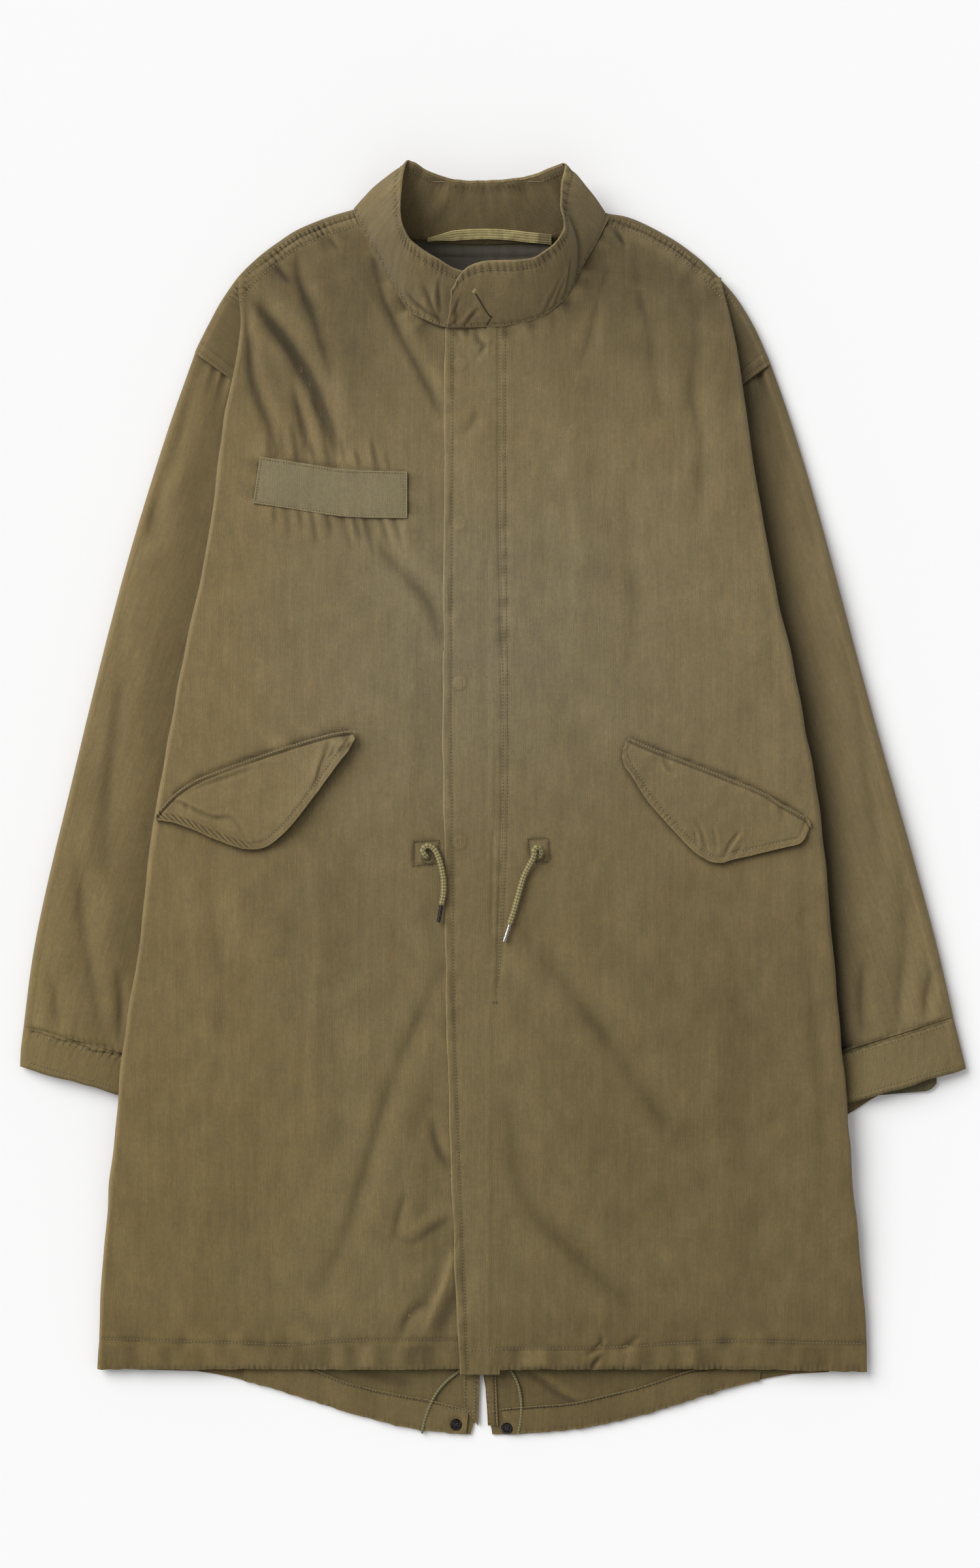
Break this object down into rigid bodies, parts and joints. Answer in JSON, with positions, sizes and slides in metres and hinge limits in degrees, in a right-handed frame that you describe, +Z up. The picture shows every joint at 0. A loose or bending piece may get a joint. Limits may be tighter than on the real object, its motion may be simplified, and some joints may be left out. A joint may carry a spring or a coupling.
{
  "type": "fishtail parka laid flat",
  "caption": "Long field parka with a stand collar, covered front, slanted pocket flaps and a fishtail back, closed and laid flat on its back.",
  "frame": {"origin": "on the surface that the coat lies on, under the middle of the whole coat", "axes": "+Y toward the collar, +Z up from the surface, through the closed front; the wearer's right side lies at -X"},
  "size_m": [0.8128, 1.0922, 0.0546],
  "materials": {
    "shell_cotton": "washed olive khaki cotton oxford, matt, with faint upright slubs and pale worn edges",
    "lining_cloth": "plain grey brown cotton, smooth",
    "tape_cloth": "pale khaki cotton tape, close ribs",
    "loop_tape": "ribbed khaki cotton tape",
    "waist_braid": "round cotton braid, soft",
    "hem_braid": "thin round braid",
    "dark_metal": "blackened metal, worn bright on edges",
    "pale_metal": "bare steel, rubbed bright"
  },
  "bodies": {
    "root": {"back": "shell_cotton", "back_lining": "lining_cloth", "front_right": "shell_cotton", "sleeve_right": "shell_cotton", "cuff_right": "shell_cotton", "pocket_flap_right": "shell_cotton", "waist_cord_right": "waist_braid", "waist_aglet_right": "dark_metal", "hem_cord_right": "hem_braid", "snap_right": "dark_metal", "front_left": "shell_cotton", "sleeve_left": "shell_cotton", "cuff_left": "shell_cotton", "pocket_flap_left": "shell_cotton", "waist_cord_left": "waist_braid", "waist_aglet_left": "pale_metal", "hem_cord_left": "hem_braid", "snap_left": "dark_metal", "cuff_tab_left": "lining_cloth", "fly": "shell_cotton", "collar": "shell_cotton", "hanger_loop": "loop_tape", "name_tape": "tape_cloth"}
  },
  "joints": []
}
